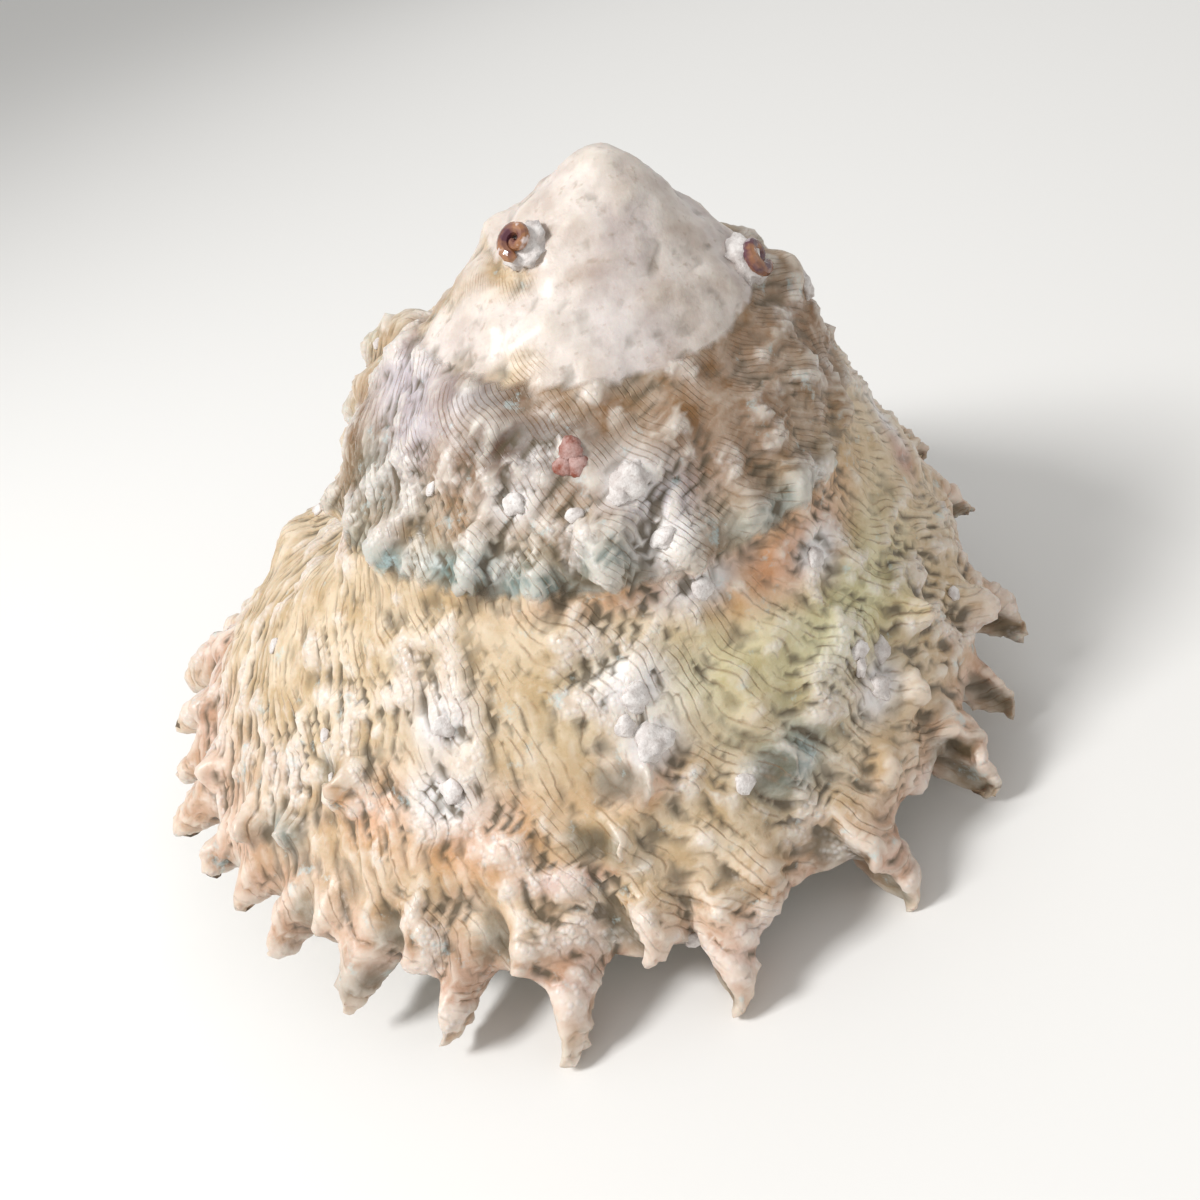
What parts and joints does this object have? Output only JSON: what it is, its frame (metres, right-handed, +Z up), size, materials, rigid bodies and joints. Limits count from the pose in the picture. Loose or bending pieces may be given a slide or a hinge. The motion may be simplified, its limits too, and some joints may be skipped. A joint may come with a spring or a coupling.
{
  "type": "star shell",
  "caption": "Star shell standing on its base: a low coiled spire with scoop-shaped spines round the keel, a hollow mouth, and small worm-snail tubes grown on the old whorls.",
  "frame": {"origin": "centre of the bottom of the bounding box, on the surface that the shell stands on", "axes": "+Z up as the shell stands, -Y towards the side that the picture shows, +X to the right of that side"},
  "size_m": [0.0596, 0.0646, 0.0392],
  "materials": {
    "shell": "matte to satin, chalky at the tip, cream and golden on the wall, with glints of nacre",
    "worm_tube": "glossy purple-brown tube with a cream inner edge"
  },
  "bodies": {
    "root": {"shell": "shell", "worm_snail_left": "worm_tube", "worm_snail_right": "worm_tube"}
  },
  "joints": []
}
